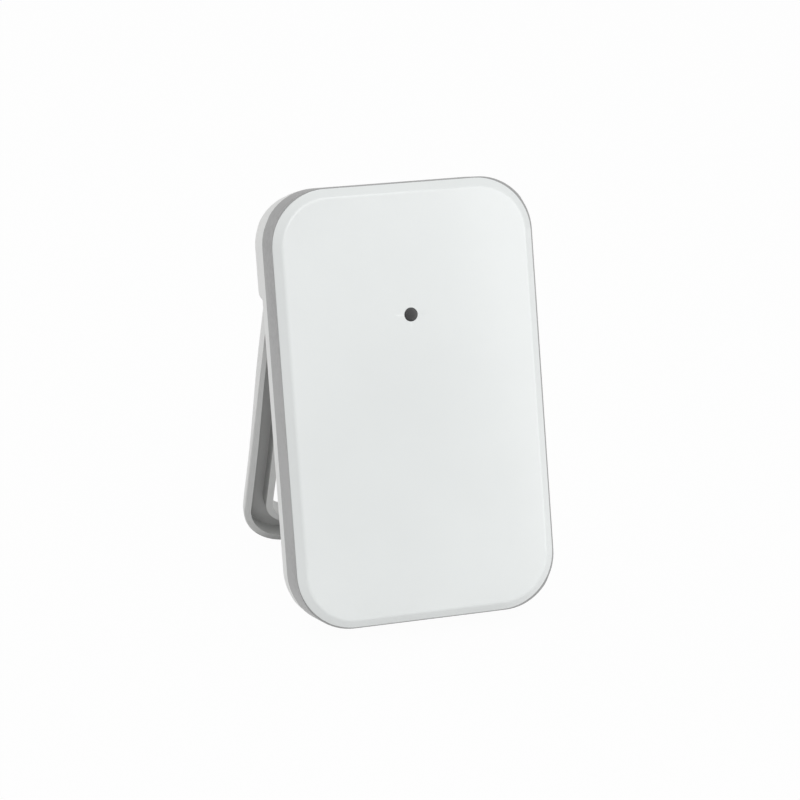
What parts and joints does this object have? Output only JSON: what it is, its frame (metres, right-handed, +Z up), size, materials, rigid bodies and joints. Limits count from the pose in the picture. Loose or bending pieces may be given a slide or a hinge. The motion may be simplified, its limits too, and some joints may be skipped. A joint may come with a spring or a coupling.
{
  "type": "radio-controlled thermometer",
  "caption": "Slim white temperature sensor with a bevelled front panel, a grey frame and a signal light, leaning on the fold-out stand of its back.",
  "frame": {"origin": "on the table, in the middle of the box round the sensor as it leans on its open stand", "axes": "+X to the right seen from the front, +Y from the front to the back, +Z up"},
  "size_m": [0.062, 0.0642, 0.0993],
  "materials": {
    "panel_white": "glossy moulded panel",
    "tape_grey": "thin foam tape",
    "window_dark": "smooth dark lens",
    "clear_plastic": "clear moulded rod",
    "frame_grey": "fine satin texture",
    "shell_white": "fine satin texture",
    "cell_jacket": "plain lacquered jacket",
    "contact_nickel": "nickel-plated sheet and wire",
    "board_green": "solder-masked laminate",
    "led_clear": "clear epoxy",
    "chip_black": "moulded epoxy",
    "shield_steel": "tinned sheet",
    "antenna_copper": "lacquered copper wire",
    "capacitor_sleeve": "shrink sleeve",
    "bead_epoxy": "dipped epoxy",
    "control_black": "moulded",
    "screw_steel": "zinc-plated"
  },
  "bodies": {
    "casing": {"front_panel": "panel_white", "panel_tape": "tape_grey", "light_window": "window_dark", "light_pipe": "clear_plastic", "front_frame": "frame_grey", "rear_shell": "shell_white", "battery_left": "cell_jacket", "battery_right": "cell_jacket", "positive_contact": "contact_nickel", "negative_contact": "contact_nickel", "bridge_contact": "contact_nickel", "upper_battery_spring": "contact_nickel", "lower_battery_spring": "contact_nickel", "circuit_board": "board_green", "signal_led": "led_clear", "controller_chip": "chip_black", "radio_board": "board_green", "radio_shield": "shield_steel", "antenna_coil": "antenna_copper", "timing_crystal": "shield_steel", "storage_capacitor": "capacitor_sleeve", "thermistor": "bead_epoxy", "channel_switch": "shield_steel", "pair_button": "control_black", "shell_screws": "screw_steel", "board_screws": "screw_steel"},
    "stand": {"stand": "shell_white"},
    "battery_door": {"battery_door": "shell_white"},
    "channel_knob": {"channel_knob": "control_black"},
    "button_plunger": {"button_plunger": "control_black"}
  },
  "joints": [
    {"name": "stand_hinge", "type": "hinge", "parent": "casing", "child": "stand", "pos_m": [0, 0.00583, 0.06557], "axis": [-1, 0, 0], "range_deg": [0, 37.5]},
    {"name": "battery_door_hinge", "type": "hinge", "parent": "casing", "child": "battery_door", "pos_m": [0, -0.01415, 0.00956], "axis": [-1, 0, 0], "range_deg": [0, 60]},
    {"name": "channel_slide", "type": "slide", "parent": "casing", "child": "channel_knob", "axis": [1, 0, 0], "range_m": [-0.002, 0.002]},
    {"name": "button_press", "type": "slide", "parent": "casing", "child": "button_plunger", "axis": [0, -0.9571, 0.2897], "range_m": [0, 0.0004], "stiffness_N_per_m": 1000, "springref_m": -0.0004}
  ]
}
